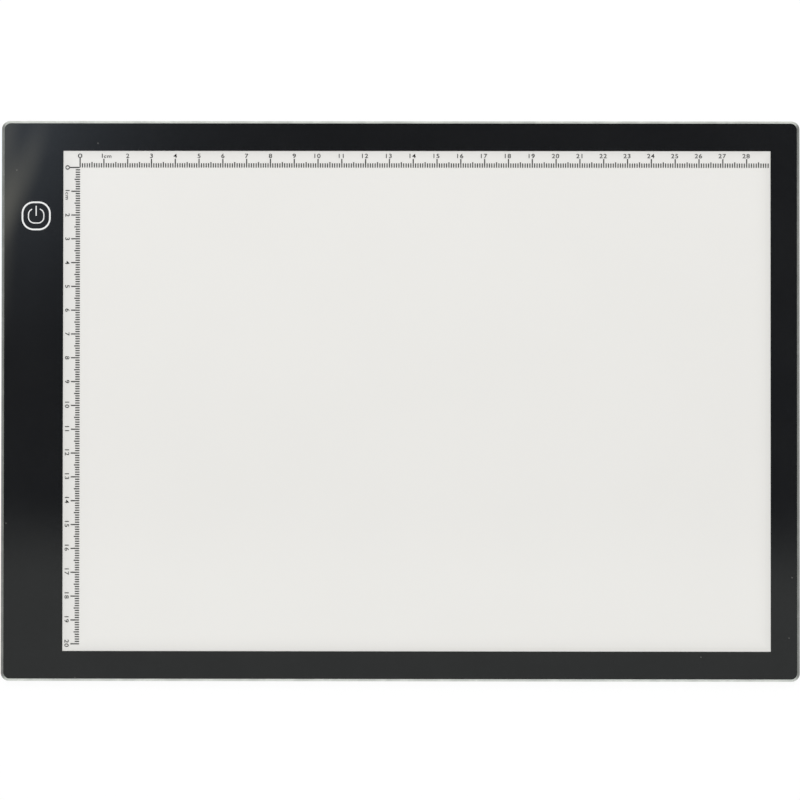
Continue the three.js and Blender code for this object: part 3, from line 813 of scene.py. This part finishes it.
def make_world():
    world = bpy.data.worlds.new("room")
    bpy.context.scene.world = world
    world.use_nodes = True
    graph = Graph(world.node_tree)
    direction = graph.add("ShaderNodeTexCoord").outputs["Generated"]
    axes = graph.add("ShaderNodeSeparateXYZ", {0: direction}).outputs
    height = graph.math("MAXIMUM", axes[2], LOWEST_HEIGHT)
    along = graph.math("DIVIDE", axes[0], height)
    up = graph.math("DIVIDE", axes[1], height)

    total = grey(0)
    for tint, light in ceiling_parts(graph, along, up):
        values = {0: total, 1: graph.scaled(tint, light)}
        total = graph.add("ShaderNodeVectorMath", values, operation="ADD").outputs[0]
    spread = graph.distance(along, up)
    sideways = graph.math("DIVIDE", along, graph.math("MAXIMUM", spread, LOWEST_HEIGHT))
    short_side = graph.math("MULTIPLY", sideways, sideways)
    surround = graph.tint(short_side, grey(LONG_SIDE_LIGHT), grey(SHORT_SIDE_LIGHT))
    background = graph.tint(graph.seen(), surround, grey(1))
    colour = graph.tint(graph.ramp(spread, *CEILING_ENDS), total, background)
    graph.finish(graph.add("ShaderNodeBackground", {"Color": colour}), "ShaderNodeOutputWorld")


# Floor: white where it is seen, but for the pad's soft shadow, and pale grey where it only lights the pad
FLOOR_HALF = 4000
FLOOR_DROP = 0.02
FLOOR_GREY = 0.85
FLOOR_SEEN_GREY = 0.12
FLOOR_SEEN_LIGHT = 0.895


def make_floor():
    material, graph = new_material("floor")
    pale = graph.add("ShaderNodeBsdfDiffuse", {"Color": (*grey(FLOOR_GREY), 1)})
    dim = graph.add("ShaderNodeBsdfDiffuse", {"Color": (*grey(FLOOR_SEEN_GREY), 1)})
    light = graph.add("ShaderNodeEmission", {"Strength": FLOOR_SEEN_LIGHT})
    white = graph.add("ShaderNodeAddShader", {0: dim.outputs[0], 1: light.outputs[0]})
    shown = {0: graph.seen(), 1: pale.outputs[0], 2: white.outputs[0]}
    graph.finish(graph.add("ShaderNodeMixShader", shown))

    ends = (-FLOOR_HALF * MM, FLOOR_HALF * MM)
    corners = [(x, y, 0) for x, y in rectangle(ends, ends)]
    mesh = bpy.data.meshes.new("floor")
    mesh.from_pydata(corners, [], [range(len(corners))])
    mesh.materials.append(material)
    floor = bpy.data.objects.new("floor", mesh)
    floor.location.z = CAD_BOX[0].z - FLOOR_DROP * MM
    bpy.context.scene.collection.objects.link(floor)


# Lamp: a large soft one beyond the pad, aimed at its middle
LAMP_PLACE = (-150, 900, 1500)
LAMP_SIZE = 1100
LAMP_POWER = 10.4


def make_lamp():
    lamp = bpy.data.lights.new("lamp", "AREA")
    lamp.energy = LAMP_POWER
    lamp.size = LAMP_SIZE * MM
    holder = bpy.data.objects.new("lamp", lamp)
    holder.location = Vector(LAMP_PLACE) * MM
    holder.rotation_euler = (-holder.location).to_track_quat("-Z", "Y").to_euler()
    holder.visible_glossy = False
    bpy.context.scene.collection.objects.link(holder)


def make_camera():
    camera = bpy.data.cameras.new("camera")
    camera.lens = CAMERA_LENS
    camera.sensor_width = CAMERA_SENSOR
    camera.clip_start = CAMERA_NEAR * MM
    camera.clip_end = CAMERA_FAR * MM
    holder = bpy.data.objects.new("camera", camera)
    holder.location = Vector(CAMERA_PLACE) * MM
    holder.rotation_euler = [math.radians(angle) for angle in CAMERA_TURN]
    bpy.context.scene.collection.objects.link(holder)
    bpy.context.scene.camera = holder


make_camera()
paint_nodes()
make_panel()
make_key()
make_scales()
for foot in nodes_named("foot"):
    make_foot(foot)
make_world()
make_floor()
make_lamp()
bpy.context.scene.view_settings.view_transform = "Standard"
